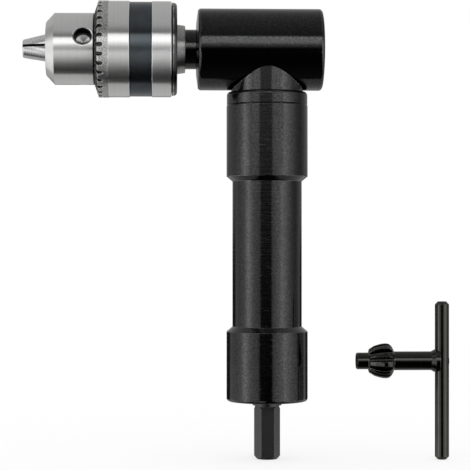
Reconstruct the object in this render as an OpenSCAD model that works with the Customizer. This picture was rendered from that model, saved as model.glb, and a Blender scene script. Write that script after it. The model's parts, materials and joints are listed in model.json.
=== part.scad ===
// Right angle drill attachment: a hex shank drives a bevel gear pair that turns a keyed
// three-jaw chuck at a right angle to the handle, with the chuck's key standing beside it.
// Millimetres. +Z runs up the handle from the end of the hex shank, and the chuck points to -X.

/* [Shank] */
// Width of the hex shank across its flats
hex_across_flats = 8; // [7:0.1:8.4]
// Length of the hex shank
shank_length = 18.7; // [14:0.1:26]
// Height of the bevel on the shank's lower corners
shank_bevel = 1.2; // [0.4:0.1:2]
// Height of the bevel on the shank's upper corners
shank_top_bevel = 0.8; // [0.2:0.1:1.6]
// Diameter of the round groove above the hex
groove_d = 8.7; // [8:0.1:9.6]
// Width of that groove
groove_width = 0.3; // [0.1:0.05:0.8]
// Diameter of the boss that leaves the handle
boss_d = 10.5; // [10.2:0.1:11.4]
// Length of the boss below the handle
boss_length = 1.5; // [0.8:0.1:4]
// Diameter of the drive shaft inside the handle
shaft_d = 10; // [9.4:0.05:10]

/* [Handle] */
// Length of the handle tube
handle_length = 104.85; // [96:0.05:125]
// Outer diameter of the upper grip and the lower collar
handle_d = 28.8; // [28:0.1:34]
// Outer diameter of the slim middle
handle_mid_d = 24.6; // [23.6:0.1:26.4]
// Length of the lower collar
collar_length = 24.7; // [14:0.1:30]
// Length of the upper grip
grip_length = 25.15; // [20:0.05:32]
// Length of each taper between the slim middle and the ends
handle_taper = 1.75; // [0.6:0.05:4]
// Rounding of the collar's lower edge
handle_edge = 1.1; // [0.3:0.1:1.6]
// Bore through the slim middle
handle_bore_d = 17; // [15.4:0.1:18.6]

/* [Lock ring] */
// Height of the lock ring
ring_height = 4.55; // [3.4:0.05:7]
// Outer diameter of the lock ring
ring_d = 28.6; // [27.4:0.1:33]
// Rounding of the ring's upper edge
ring_edge = 1.2; // [0.3:0.1:1.8]
// Gap between the ring and the handle
ring_gap = 0.25; // [0.1:0.05:0.6]

/* [Head] */
// Diameter of the head
head_d = 28.9; // [28:0.1:34]
// Reach of the head from the handle's axis to its chuck end
head_front = 25.15; // [24.4:0.05:32]
// Reach of the head from the handle's axis to its rear end
head_rear = 19.5; // [19.5:0.2:25.9]
// Rounding of the head's edges
head_edge = 1.2; // [0.4:0.1:1.5]
// Depth of the shallow cone on the chuck end
head_crown = 0.45; // [0.1:0.05:0.8]
// Diameter of the neck
neck_d = 25.4; // [24.8:0.1:27.4]
// Height of the chuck's axis above the lock ring
neck_rise = 15.05; // [14:0.05:22]
// Diameter of the threaded neck inside the ring and the handle
stub_d = 23; // [22:0.1:23.8]
// Length of thread inside the handle
thread_length = 13.35; // [8:0.05:16]
// Diameter of the two spanner holes in the end cap
spanner_hole_d = 1.8; // [1:0.1:2.4]

/* [Bearings] */
// Outer diameter of the front and lower bearings
bearing_d = 22; // [20:0.1:22.6]
// Width of the front and lower bearings
bearing_width = 6; // [5:0.1:6]
// Outer diameter of the neck bearing
neck_bearing_d = 19; // [18.6:0.1:19.6]
// Width of the neck bearing
neck_bearing_width = 5; // [4:0.1:6]
// Outer diameter of the rear bearing
rear_bearing_d = 24; // [23:0.1:24.6]
// Bore of the rear bearing
rear_bearing_bore = 8; // [7:0.1:8]
// Width of the rear bearing
rear_bearing_width = 8; // [6:0.1:8.2]
// Thickness of the retaining rings
circlip_width = 1; // [0.7:0.05:1.1]

/* [Gears] */
// Module of the bevel gears at their large end
gear_module = 1.1; // [1.06:0.01:1.14]
// Number of teeth on each bevel gear
gear_teeth = 14; // [13:1:15]
// Width of the teeth along the cone
gear_face = 3.2; // [2.6:0.05:3.4]
// Length of the gear's hub
gear_hub = 3.9; // [3.2:0.1:4.1]
// Length of the pinion's hub
pinion_hub = 1.8; // [1:0.1:3]
// Diameter of the pin through the gear
gear_pin_d = 2; // [1.2:0.1:2.4]

/* [Coupling] */
// Outer diameter of the socket that joins the two shafts
socket_d = 14; // [13:0.1:14.8]
// Length of the socket
socket_length = 18; // [12:0.1:24]
// Diameter of the pin across the socket
coupling_pin_d = 2.5; // [1.6:0.1:3.4]

/* [Spindle] */
// Diameter of the spindle's nose between the head and the chuck
nose_d = 14; // [13.2:0.1:15]
// Length of the nose in view
nose_length = 3.95; // [3:0.05:8]
// Diameter of the thread that carries the chuck
chuck_thread_d = 9.5; // [9:0.05:10.4]
// Length of that thread
chuck_thread_length = 14.7; // [11:0.1:14.8]
// Diameter of the screw that keeps the chuck on the spindle
chuck_screw_d = 6; // [4:0.1:6.2]

/* [Chuck body] */
// Length of the chuck body from its rear flange to its front face
chuck_length = 46.05; // [45.6:0.05:50]
// Length of the hub behind the flange
hub_length = 2.9; // [1.6:0.1:5]
// Diameter of the hub
hub_d = 17.4; // [15:0.1:22]
// Diameter of the rear flange
flange_d = 32.8; // [31.6:0.1:33.6]
// Thickness of the rear flange
flange_width = 1.8; // [1.4:0.1:2.4]
// Diameter of the chuck's bare front
front_d = 25.3; // [24.8:0.1:25.6]
// Length of the bevel around the front
front_bevel = 2.8; // [1.6:0.1:3.4]
// Diameter of the flat front face
face_d = 18.6; // [17:0.1:19]
// Bore that takes the drill's shank
drill_bore_d = 10.2; // [9.4:0.1:10.4]
// Diameter of the holes for the key's pilot
key_hole_d = 6.35; // [6.2:0.05:6.8]
// Distance of the key holes from the rear of the chuck
key_hole_place = 32.9; // [32.6:0.1:34.4]
// Depth of the key holes
key_hole_depth = 5.2; // [4.8:0.1:5.6]
// Bevel around the mouth of each key hole
key_hole_bevel = 0.15; // [0.1:0.05:0.5]
// Angle of the nearest key hole above the horizontal
chuck_turn = 16; // [0:1:60]

/* [Chuck sleeve] */
// Distance of the sleeve's toothed tip from the rear of the chuck
sleeve_reach = 29; // [28.8:0.05:29.3]
// Diameter of the toothed ring
tooth_ring_d = 34.2; // [34:0.1:36]
// Length of the toothed ring behind its cone
tooth_ring_length = 3.6; // [2.6:0.1:5]
// Number of teeth on the sleeve
sleeve_teeth = 32; // [28:1:36]
// Depth of the tooth spaces at the sleeve's rim
tooth_depth = 3.3; // [2:0.1:3.4]
// Length of the cone that carries the teeth
tooth_cone_length = 1.4; // [1:0.1:1.6]
// Diameter of the polished front band
front_band_d = 34; // [33.8:0.1:35.6]
// Length of the polished front band
front_band_length = 7.35; // [4:0.05:9]
// Diameter of the dark band
dark_band_d = 33.4; // [33:0.1:33.8]
// Length of the dark band
dark_band_length = 7.8; // [5:0.1:10]
// Diameter of the polished rear band
rear_band_d = 33.8; // [33.4:0.1:35.4]
// Bore of the sleeve over the chuck body
sleeve_bore_d = 30.8; // [30.6:0.05:31.2]
// Diameter of the split nut inside the sleeve
nut_d = 29.2; // [28.6:0.1:29.8]
// Width of the split nut
nut_width = 4.4; // [3.4:0.1:4.6]

/* [Jaws] */
// Number of jaws and of key holes
jaw_count = 3; // [3:1:3]
// Diameter of each jaw
jaw_d = 6.8; // [6.4:0.05:6.9]
// Angle between a jaw and the chuck's axis
jaw_angle = 14; // [13.8:0.1:14.4]
// Radius at which the backs of the jaws leave the front face
jaw_nose_r = 5.2; // [5.1:0.05:5.3]
// Reach of the jaws past the front face
jaw_reach = 8.3; // [6:0.1:9.4]
// Length of each jaw along its own axis
jaw_length = 32.7; // [32:0.1:32.9]
// Gap between neighbouring jaws at rest
jaw_gap = 0.5; // [0.2:0.05:0.6]
// Radius of the opening between the jaws at rest
grip_r = 0.5; // [0.4:0.05:0.8]
// How far the jaws slide along their holes from closed to open
jaw_travel = 18.6; // [14:0.1:18.7]

/* [Chuck key] */
// Distance of the key's bar from the handle's axis
key_place = 61.8; // [54:0.1:90]
// Distance of the key in front of the handle's axis
key_forward = 4.2; // [0:0.1:30]
// Length of the key's bar
bar_length = 55.9; // [44:0.1:80]
// Diameter of the key's bar
bar_d = 5; // [4.2:0.1:6]
// Height of the key's stem above the bar's lower end
stem_height = 34.9; // [24:0.1:38]
// Diameter of the key's stem
stem_d = 6.65; // [6.2:0.05:7.2]
// Diameter of the stem where it meets the bar
stem_foot_d = 8.2; // [7.4:0.1:9]
// Length of the stem between the pinion and the bar
stem_length = 14.7; // [8:0.1:24]
// Diameter of the key's pilot
pilot_d = 5.9; // [5.4:0.05:6.1]
// Length of the key's pilot
pilot_length = 4.6; // [3.4:0.1:4.9]
// Length of the key's pinion
key_pinion_length = 8.7; // [7:0.1:11]
// Largest diameter of the key's pinion
key_pinion_d = 12.4; // [11.4:0.1:13]
// Number of teeth on the key
key_teeth = 11; // [9:1:12]
// Diameter of the tenon that rivets the stem into the bar
tenon_d = 3; // [2.2:0.1:3.4]

/* [Fits] */
// Radial clearance of pieces that turn or slide past each other
running_gap = 0.05; // [0.03:0.005:0.08]
// Radial clearance of the spindle's nose and the shaft's seal
seal_gap = 0.25; // [0.1:0.05:0.4]
// Gap between faces that pass each other
face_gap = 0.15; // [0.08:0.01:0.2]

/* [Hidden] */
$fn = 72;

// Overrun of cuts past the faces that they open
over = 0.5;
// Fine edge break on turned steel pieces
edge_break = 0.3;
// Thickness of the rubber seal round the boss
seal_width = 2.2;
// Clear depth between the seal and the handle's lower face
seal_recess = 0.5;
// Steps in the arc that rounds an edge, and in the round floor of a tooth space
edge_steps = 6;
floor_steps = 5;

// Depth of the shank's lower and upper corner bevels as shares of their heights
bevel_depth_share = 0.85;
top_bevel_depth_share = 0.5;

// Heights along the handle, from the end of the shank
handle_bottom = shank_length + groove_width + boss_length;
handle_top = handle_bottom + handle_length;
ring_bottom = handle_top + ring_gap;
ring_top = ring_bottom + ring_height;
axis_height = ring_top + neck_rise;
stub_bottom = handle_top - thread_length;
grip_bottom = handle_top - grip_length;
collar_top = handle_bottom + collar_length;

// The lower bearing's seat, above the seal and its retaining ring
lower_clip_bottom = handle_bottom + seal_recess + seal_width + face_gap;
lower_bearing_bottom = lower_clip_bottom + circlip_width + face_gap;
lower_bearing_top = lower_bearing_bottom + bearing_width;

// Share of a bearing's section that each race takes
race_share = 0.27;
// Diameter of a ball as a share of a bearing's section
ball_share = 0.53;
// Pitch of the balls as a share of their diameter
ball_pitch_share = 1.6;
// Width of a cage as a share of a bearing's width
cage_width_share = 0.4;
// Thickness of a cage as a share of a ball's diameter
cage_share = 0.4;
// Depth of a retaining ring's groove as a share of the ring's thickness
clip_depth_share = 0.4;
// Height of a retaining ring as a share of its thickness
clip_height_share = 1.7;
// The same for a ring that springs onto a shaft
shaft_clip_height_share = 1.36;
// Half the opening of a retaining ring as a share of its outer radius
clip_mouth_share = 0.25;

// Bevel gears of equal size on axes at a right angle, so both pitch cones stand at half of it
pressure_angle = 20;
cone_angle = 45;
gear_r = gear_module * gear_teeth / 2;
cone_distance = gear_r / sin(cone_angle);
back_cone_r = gear_r / cos(cone_angle);
base_r = back_cone_r * cos(pressure_angle);
// Height of a tooth above and depth below the pitch line, as shares of the module
addendum_share = 1;
dedendum_share = 1.25;
// Points along a tooth's flank, as shares of the way from its root to its tip
flank_shares = [0, 0.35, 0.7, 1];
// How much thinner than full each half tooth is, as an angle at the pitch line
backlash_angle = 0.3;
tooth_tip_r = back_cone_r + addendum_share * gear_module;
tooth_root_r = back_cone_r - dedendum_share * gear_module;
small_end_share = (cone_distance - gear_face) / cone_distance;
// Corners of the toothed blank, as radius and distance from the crossing of the axes
heel_tip = [gear_r + addendum_share * gear_module * cos(cone_angle),
            gear_r - addendum_share * gear_module * sin(cone_angle)];
heel_root = [gear_r - dedendum_share * gear_module * cos(cone_angle),
             gear_r + dedendum_share * gear_module * sin(cone_angle)];
toe_tip = heel_tip * small_end_share;
toe_root = heel_root * small_end_share;
hub_r = heel_root[0] - edge_break;
gear_back = heel_root[1] + gear_hub;
pinion_back = heel_root[1] + pinion_hub;

// The head's inside, along the chuck's axis from the handle's axis
// Wall of the head in front of the front bearing
front_wall = 2.9;
// Thickness of the end cap, and of its web over the spindle's end
end_cap_width = 1.9;
end_cap_web = 0.7;
front_seat = -head_front + front_wall;
front_bearing_end = front_seat + bearing_width;
rear_bearing_end = head_rear - end_cap_width;
rear_seat = rear_bearing_end - rear_bearing_width;
neck_opening_r = heel_tip[0] + edge_break;
// Radius of the flat in the middle of the head's chuck end, as a share of the head's diameter
head_flat_share = 0.33;
// Diameter of the recess behind the end cap as a share of the cap's
cap_recess_share = 0.7;
// Distance of the spanner holes from the cap's centre as a share of its diameter
spanner_hole_share = 0.42;
rear_shaft_r = rear_bearing_bore / 2;
spindle_end = head_rear - end_cap_web - face_gap;
// Thickness of the spindle's collar in front of the front bearing
collar_width = 0.6;

// Depths below the chuck's axis
neck_bearing_bottom = pinion_back + neck_bearing_width;
coupling_top = axis_height - stub_bottom - face_gap * 2;
coupling_bottom = coupling_top + socket_length;
// Solid end of the socket over the drive shaft
socket_floor = shaft_d / 4;
// Height of the drive shaft's upper end and of the pin through it
shaft_top = axis_height - coupling_top - socket_floor;
coupling_pin_height = axis_height - (coupling_top + coupling_bottom) / 2;

// The chuck, along its axis from its rear flange forwards
chuck_back = -(head_front + nose_length + hub_length);
sleeve_back = flange_width + face_gap;
rear_band_top = sleeve_reach - tooth_cone_length - tooth_ring_length
              - front_band_length - dark_band_length;
dark_band_top = rear_band_top + dark_band_length;
front_band_top = dark_band_top + front_band_length;
tooth_ring_top = front_band_top + tooth_ring_length;
lip_r = front_d / 2 + running_gap * 4;
// Thickness of the sleeve between the nut and the root of the cone
lip_wall = 0.9;
nut_top = sleeve_reach - tooth_cone_length - lip_wall;
nut_bottom = nut_top - nut_width;
thread_end = chuck_thread_length - hub_length;
// Web of the chuck body between the spindle's end and the drill bore
screw_web = 1.5;
bore_floor = thread_end + screw_web;
// Head of the retaining screw
screw_head_d = 8.8;
screw_head_length = 3;
key_seat_r = front_d / 2 - key_hole_depth;
// Depth of the drill's point at the bottom of a key hole as a share of the hole's radius
drill_point_share = 0.5;
// Rounding of the flange's rear edge as a share of its thickness
flange_edge_share = 0.65;
// Rim round the chuck's flat face, as a radius and a length
face_rim = 0.35;
face_rim_length = 0.2;
// Depth and width of the socket in the retaining screw, as shares of its head's sizes
screw_socket_shares = [0.6, 0.45];
// Clearance of the jaws' threads in the split nut and of the nut's seat in the chuck body
nut_gap = 0.15;

// Each jaw's axis crosses the chuck's axis a little ahead of the front face
jaw_r = jaw_d / 2;
jaw_slope = tan(jaw_angle);
jaw_apex = chuck_length + (jaw_nose_r - jaw_r / cos(jaw_angle)) / jaw_slope;
jaw_tip = chuck_length + jaw_reach;
jaw_rear = (jaw_tip - jaw_apex) / cos(jaw_angle) - jaw_length;
jaw_end_bevel = 0.8;
jaw_tip_bevel = 0.25;

// Height of a tooth space's cutter as a share of the tooth's depth
mouth_share = 2;
// Key: bulging profile of its pinion as shares of its length and of its largest radius
key_pinion_shares = [[0, 0.68], [0.2, 0.86], [0.41, 0.95], [0.55, 0.99], [0.69, 1],
                     [0.8, 0.97], [0.9, 0.85], [0.97, 0.68]];
// Radius of the tooth spaces' floor at the pinion's ends, as shares of its largest radius
key_root_shares = [0.5, 0.7];
// Half width of a tooth space at its floor and at the rim, as shares of the tooth pitch
key_space_shares = [0.12, 0.34];
sleeve_space_shares = [0.2, 0.27];
key_tip = key_place - bar_d / 2 - stem_length - key_pinion_length - pilot_length;
// Length of the flare at the stem's foot, and how far the foot reaches round the bar
foot_length = 1.5;
foot_seat = 1.5;
// Depth of the riveted tenon below the bar's far side
rivet_recess = 0.1;
// Bevel on the bar's ends
bar_bevel = 1;

function polar(r, a) = [r * cos(a), r * sin(a)];
function involute(a) = tan(a) * 180 / PI - a;
function arc(center, r, from, to) = [
    for (i = [0:edge_steps]) center + polar(r, from + (to - from) * i / edge_steps)
];
// Outline of a tooth space, with its round floor on the origin and its mouth towards +Y
function space_outline(pitch, shares, depth) = let (
        floor_w = pitch * shares[0],
        rim_w = pitch * shares[1],
        mouth_w = rim_w + (rim_w - floor_w) * (mouth_share - 1))
    concat([for (i = [0:floor_steps]) polar(floor_w, 200 + 140 * i / floor_steps) + [0, floor_w]],
        [[rim_w, depth], [mouth_w, depth * mouth_share],
         [-mouth_w, depth * mouth_share], [-rim_w, depth]]);
// Half the angle of a tooth at radius r of the unrolled back cone
function half_tooth(r) = 90 * cos(cone_angle) / gear_teeth + involute(pressure_angle)
    - involute(acos(min(1, base_r / r))) - backlash_angle;
// Radius at which the cone through r of the unrolled back cone meets a plane at distance d
function cone_radius(r, d) = d * tan(cone_angle + atan((r - back_cone_r) / cone_distance));
function flank_radius(share) = base_r + (tooth_tip_r - base_r) * share;
function tooth_points(d, turn) = let (side = concat(
        [[tooth_root_r, half_tooth(base_r)]],
        [for (s = flank_shares) [flank_radius(s), half_tooth(flank_radius(s))]]))
    concat(
        [for (i = [0:len(side) - 1])
            polar(cone_radius(side[i][0], d), turn - side[i][1] / cos(cone_angle))],
        [for (i = [len(side) - 1:-1:0])
            polar(cone_radius(side[i][0], d), turn + side[i][1] / cos(cone_angle))]);
function jaw_back_r(place) = jaw_nose_r + (chuck_length - place) * jaw_slope;
function race_wall(bore, outer) = (outer - bore) / 2 * race_share;
function ball_r(bore, outer) = (outer - bore) / 4 * ball_share;
function jaw_direction(k) = chuck_turn - 90 + 360 / jaw_count * (k - 0.5);

module steel() { color([0.72, 0.72, 0.73]) children(); }
module dark_steel() { color([0.2, 0.2, 0.22]) children(); }
module black_finish() { color([0.11, 0.11, 0.12]) children(); }
module brass_finish() { color([0.75, 0.6, 0.3]) children(); }

module turned(points) { rotate_extrude() polygon(points); }
// Child shapes are drawn with +Z along the chuck's axis, away from the chuck
module on_spindle() { translate([0, 0, axis_height]) rotate([0, 90, 0]) children(); }
// Child shapes are drawn with +Z along the chuck's axis, forwards from the chuck's rear flange
module in_chuck() { translate([chuck_back, 0, axis_height]) rotate([0, -90, 0]) children(); }
// Child shapes are drawn with +Z running back along the axis of jaw k
module on_jaw(k) {
    rotate([0, 0, jaw_direction(k)]) translate([0, 0, jaw_apex]) rotate([0, 180 - jaw_angle, 0])
        children();
}

module tube(inner_r, outer_r, length) {
    difference() {
        cylinder(r = outer_r, h = length);
        translate([0, 0, -over]) cylinder(r = inner_r, h = length + over * 2);
    }
}

// Bearing pieces stand on the origin with their axis along +Z
module race_ring(inner_r, outer_r, width, pitch_r, groove_r) {
    difference() {
        tube(inner_r, outer_r, width);
        translate([0, 0, width / 2]) rotate_extrude() translate([pitch_r, 0]) circle(r = groove_r);
    }
}
module outer_race(bore, outer, width) {
    race_ring(outer / 2 - race_wall(bore, outer), outer / 2, width, (bore + outer) / 4,
        ball_r(bore, outer) + running_gap);
}
module inner_race(bore, outer, width) {
    race_ring(bore / 2, bore / 2 + race_wall(bore, outer), width, (bore + outer) / 4,
        ball_r(bore, outer) + running_gap);
}
module caged_balls(bore, outer, width) {
    pitch_r = (bore + outer) / 4;
    ball = ball_r(bore, outer);
    count = floor(PI * pitch_r / (ball * ball_pitch_share));
    cage_width = width * cage_width_share;
    translate([0, 0, width / 2]) {
        for (i = [0:count - 1])
            rotate([0, 0, 360 / count * i]) translate([pitch_r, 0, 0]) sphere(r = ball, $fn = 24);
        translate([0, 0, -cage_width / 2])
            tube(pitch_r - ball * cage_share, pitch_r + ball * cage_share, cage_width);
    }
}

// Open retaining rings, on the origin: one springs out into a bore, the other in onto a shaft
module clip(inner_r, outer_r) {
    difference() {
        tube(inner_r, outer_r, circlip_width);
        translate([0, -outer_r * clip_mouth_share, -over])
            cube([outer_r + over, outer_r * clip_mouth_share * 2, circlip_width + over * 2]);
    }
}
module bore_clip(bore_r) {
    clip(bore_r - circlip_width * clip_height_share, bore_r + circlip_width * clip_depth_share);
}
module shaft_clip(shaft_r) {
    clip(shaft_r - circlip_width * clip_depth_share, shaft_r + circlip_width * shaft_clip_height_share);
}
// Grooves for those rings, a little wider than the rings
module clip_groove(outer_r) {
    translate([0, 0, -face_gap / 2])
        cylinder(r = outer_r + circlip_width * clip_depth_share, h = circlip_width + face_gap);
}
module shaft_groove(shaft_r) {
    translate([0, 0, -face_gap / 2])
        tube(shaft_r - circlip_width * clip_depth_share, shaft_r + over, circlip_width + face_gap);
}

// Toothed blank of a bevel gear: the axes cross at the origin, and +Z runs away from there
module bevel_teeth(turn) {
    far = heel_root[1] + edge_break;
    near = toe_tip[1] - edge_break;
    intersection() {
        turned([[0, toe_root[1]], toe_root, toe_tip, heel_tip, heel_root, [0, heel_root[1]]]);
        translate([0, 0, far]) mirror([0, 0, 1])
            linear_extrude(height = far - near, scale = near / far)
                polygon([for (i = [0:gear_teeth - 1])
                    each tooth_points(far, turn + 360 / gear_teeth * i)]);
    }
}

module head_housing() {
    black_finish() difference() {
        union() {
            on_spindle() turned(concat(
                [[0, -head_front], [head_d * head_flat_share, -head_front]],
                arc([head_d / 2 - head_edge, -head_front + head_crown + head_edge], head_edge, -65, 0),
                arc([head_d / 2 - head_edge, head_rear - head_edge], head_edge, 0, 90),
                [[0, head_rear]]));
            translate([0, 0, ring_top]) cylinder(d = neck_d, h = neck_rise);
            translate([0, 0, stub_bottom]) cylinder(d = stub_d, h = axis_height - stub_bottom);
        }
        on_spindle() {
            translate([0, 0, front_seat]) cylinder(d = bearing_d, h = rear_seat - front_seat + over);
            translate([0, 0, rear_seat]) cylinder(d = rear_bearing_d, h = head_rear - rear_seat + over);
            translate([0, 0, -head_front - over])
                cylinder(r = nose_d / 2 + seal_gap, h = front_wall + over * 2);
            translate([0, 0, front_bearing_end + face_gap]) clip_groove(bearing_d / 2);
        }
        translate([0, 0, axis_height - pinion_back - over])
            cylinder(r = neck_opening_r, h = pinion_back + over);
        translate([0, 0, stub_bottom - over])
            cylinder(d = neck_bearing_d, h = axis_height - pinion_back - stub_bottom + over);
        translate([0, 0, axis_height - neck_bearing_bottom - face_gap - circlip_width])
            clip_groove(neck_bearing_d / 2);
    }
}

module head_end_cap() {
    dark_steel() on_spindle() difference() {
        translate([0, 0, rear_bearing_end]) cylinder(d = rear_bearing_d, h = end_cap_width);
        translate([0, 0, rear_bearing_end - over])
            cylinder(d = rear_bearing_d * cap_recess_share, h = end_cap_width - end_cap_web + over);
        for (side = [-1, 1])
            translate([0, side * rear_bearing_d * spanner_hole_share, rear_bearing_end - over])
                cylinder(d = spanner_hole_d, h = end_cap_width + over * 2);
    }
}

module lock_ring() {
    black_finish() turned(concat(
        [[stub_d / 2, ring_bottom], [ring_d / 2 - face_gap, ring_bottom],
         [ring_d / 2, ring_bottom + face_gap]],
        arc([ring_d / 2 - ring_edge, ring_top - ring_edge], ring_edge, 0, 90),
        [[stub_d / 2, ring_top]]));
}

module handle() {
    black_finish() difference() {
        turned(concat(
            [[0, handle_bottom]],
            arc([handle_d / 2 - handle_edge, handle_bottom + handle_edge], handle_edge, -90, 0),
            [[handle_d / 2, collar_top], [handle_mid_d / 2, collar_top + handle_taper],
             [handle_mid_d / 2, grip_bottom - handle_taper], [handle_d / 2, grip_bottom],
             [handle_d / 2, handle_top - face_gap], [handle_d / 2 - face_gap, handle_top],
             [0, handle_top]]));
        translate([0, 0, handle_bottom - over])
            cylinder(d = handle_bore_d, h = handle_length + over * 2);
        translate([0, 0, handle_bottom - over])
            cylinder(d = bearing_d, h = lower_bearing_top - handle_bottom + over);
        translate([0, 0, lower_clip_bottom]) clip_groove(bearing_d / 2);
        translate([0, 0, stub_bottom - face_gap])
            cylinder(d = stub_d, h = thread_length + face_gap + over);
    }
}

module front_bearing_outer_race() {
    steel() on_spindle() translate([0, 0, front_seat])
        outer_race(shaft_d, bearing_d, bearing_width);
}
module front_bearing_inner_race() {
    steel() on_spindle() translate([0, 0, front_seat])
        inner_race(shaft_d, bearing_d, bearing_width);
}
module front_bearing_balls() {
    brass_finish() on_spindle() translate([0, 0, front_seat])
        caged_balls(shaft_d, bearing_d, bearing_width);
}
module rear_bearing_outer_race() {
    steel() on_spindle() translate([0, 0, rear_seat])
        outer_race(rear_bearing_bore, rear_bearing_d, rear_bearing_width);
}
module rear_bearing_inner_race() {
    steel() on_spindle() translate([0, 0, rear_seat])
        inner_race(rear_bearing_bore, rear_bearing_d, rear_bearing_width);
}
module rear_bearing_balls() {
    brass_finish() on_spindle() translate([0, 0, rear_seat])
        caged_balls(rear_bearing_bore, rear_bearing_d, rear_bearing_width);
}
module neck_bearing_outer_race() {
    steel() translate([0, 0, axis_height - neck_bearing_bottom])
        outer_race(shaft_d, neck_bearing_d, neck_bearing_width);
}
module neck_bearing_inner_race() {
    steel() translate([0, 0, axis_height - neck_bearing_bottom])
        inner_race(shaft_d, neck_bearing_d, neck_bearing_width);
}
module neck_bearing_balls() {
    brass_finish() translate([0, 0, axis_height - neck_bearing_bottom])
        caged_balls(shaft_d, neck_bearing_d, neck_bearing_width);
}
module lower_bearing_outer_race() {
    steel() translate([0, 0, lower_bearing_bottom]) outer_race(shaft_d, bearing_d, bearing_width);
}
module lower_bearing_inner_race() {
    steel() translate([0, 0, lower_bearing_bottom]) inner_race(shaft_d, bearing_d, bearing_width);
}
module lower_bearing_balls() {
    brass_finish() translate([0, 0, lower_bearing_bottom])
        caged_balls(shaft_d, bearing_d, bearing_width);
}

module front_bearing_circlip() {
    dark_steel() on_spindle() translate([0, 0, front_bearing_end + face_gap])
        bore_clip(bearing_d / 2);
}
module neck_bearing_circlip() {
    dark_steel() translate([0, 0, axis_height - neck_bearing_bottom - face_gap - circlip_width])
        bore_clip(neck_bearing_d / 2);
}
module lower_bearing_circlip() {
    dark_steel() translate([0, 0, lower_clip_bottom]) bore_clip(bearing_d / 2);
}
module shank_seal() {
    color([0.08, 0.08, 0.08]) translate([0, 0, handle_bottom + seal_recess])
        tube(boss_d / 2 + running_gap, bearing_d / 2, seal_width);
}

module output_spindle() {
    collar_r = shaft_d / 2 + race_wall(shaft_d, bearing_d);
    collar_front = front_seat - collar_width;
    thread_r = chuck_thread_d / 2;
    tip = chuck_back - thread_end;
    dark_steel() on_spindle() difference() {
        turned([[0, tip], [thread_r - edge_break, tip], [thread_r, tip + edge_break],
            [thread_r, chuck_back + hub_length], [nose_d / 2, chuck_back + hub_length],
            [nose_d / 2, collar_front], [collar_r, collar_front], [collar_r, front_seat],
            [shaft_d / 2, front_seat], [shaft_d / 2, -gear_back],
            [rear_shaft_r, -gear_back], [rear_shaft_r, spindle_end], [0, spindle_end]]);
        translate([0, 0, tip - over]) cylinder(d = chuck_screw_d, h = thread_end + over);
        translate([0, 0, rear_seat - face_gap - circlip_width]) shaft_groove(rear_shaft_r);
        translate([0, 0, rear_bearing_end + face_gap / 2]) shaft_groove(rear_shaft_r);
        gear_pin_shape();
    }
}
module gear_pin_shape() {
    translate([0, 0, -(heel_root[1] + gear_back) / 2]) rotate([0, 90, 0])
        cylinder(d = gear_pin_d, h = (hub_r - edge_break) * 2, center = true);
}
module gear_pin() {
    steel() on_spindle() gear_pin_shape();
}
module spindle_spacer() {
    steel() on_spindle() translate([0, 0, front_bearing_end])
        tube(shaft_d / 2, shaft_d / 2 + race_wall(shaft_d, bearing_d), -gear_back - front_bearing_end);
}
module spindle_circlips() {
    dark_steel() on_spindle() {
        translate([0, 0, rear_seat - face_gap - circlip_width]) shaft_clip(rear_shaft_r);
        translate([0, 0, rear_bearing_end + face_gap / 2]) shaft_clip(rear_shaft_r);
    }
}
module bevel_gear() {
    steel() on_spindle() difference() {
        mirror([0, 0, 1]) {
            bevel_teeth(0);
            translate([0, 0, heel_root[1] - edge_break])
                cylinder(r = hub_r, h = gear_hub + edge_break);
        }
        cylinder(r = rear_shaft_r, h = (gear_back + over) * 2, center = true);
        gear_pin_shape();
    }
}

module bevel_pinion() {
    steel() translate([0, 0, axis_height]) difference() {
        mirror([0, 0, 1]) {
            bevel_teeth(180 + 180 / gear_teeth);
            translate([0, 0, heel_root[1] - edge_break])
                cylinder(r = hub_r, h = pinion_hub + edge_break);
            translate([0, 0, pinion_back - over])
                cylinder(d = shaft_d, h = coupling_top - pinion_back + over * 2);
            translate([0, 0, coupling_top]) cylinder(d = socket_d, h = socket_length);
        }
        translate([0, 0, -coupling_bottom - over])
            cylinder(d = shaft_d, h = socket_length - socket_floor + face_gap + over);
        translate([0, 0, -neck_bearing_bottom - face_gap - circlip_width]) shaft_groove(shaft_d / 2);
        translate([0, 0, -axis_height]) coupling_pin_shape();
    }
}
module pinion_circlip() {
    dark_steel() translate([0, 0, axis_height - neck_bearing_bottom - face_gap - circlip_width])
        shaft_clip(shaft_d / 2);
}
module coupling_pin_shape() {
    translate([0, 0, coupling_pin_height]) rotate([0, 90, 0])
        cylinder(d = coupling_pin_d, h = socket_d - edge_break * 2, center = true);
}
module coupling_pin() {
    steel() coupling_pin_shape();
}
module drive_shaft() {
    hex_corner_r = hex_across_flats / 2 / cos(30);
    boss_bottom = shank_length + groove_width;
    steel() difference() {
        union() {
            intersection() {
                cylinder(r = hex_corner_r, h = shank_length, $fn = 6);
                turned([[0, 0], [hex_corner_r - shank_bevel * bevel_depth_share, 0],
                    [hex_corner_r, shank_bevel], [hex_corner_r, shank_length - shank_top_bevel],
                    [hex_corner_r - shank_top_bevel * top_bevel_depth_share, shank_length],
                    [0, shank_length]]);
            }
            turned([[0, shank_length - over], [groove_d / 2 - over, shank_length - over],
                [groove_d / 2 - over, shank_length], [groove_d / 2, shank_length],
                [groove_d / 2, boss_bottom], [boss_d / 2 - edge_break, boss_bottom],
                [boss_d / 2, boss_bottom + edge_break], [boss_d / 2, lower_bearing_bottom],
                [shaft_d / 2, lower_bearing_bottom], [shaft_d / 2, shaft_top - edge_break],
                [shaft_d / 2 - edge_break, shaft_top], [0, shaft_top]]);
        }
        translate([0, 0, lower_bearing_top + face_gap]) shaft_groove(shaft_d / 2);
        coupling_pin_shape();
    }
}
module shaft_circlip() {
    dark_steel() translate([0, 0, lower_bearing_top + face_gap]) shaft_clip(shaft_d / 2);
}

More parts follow.
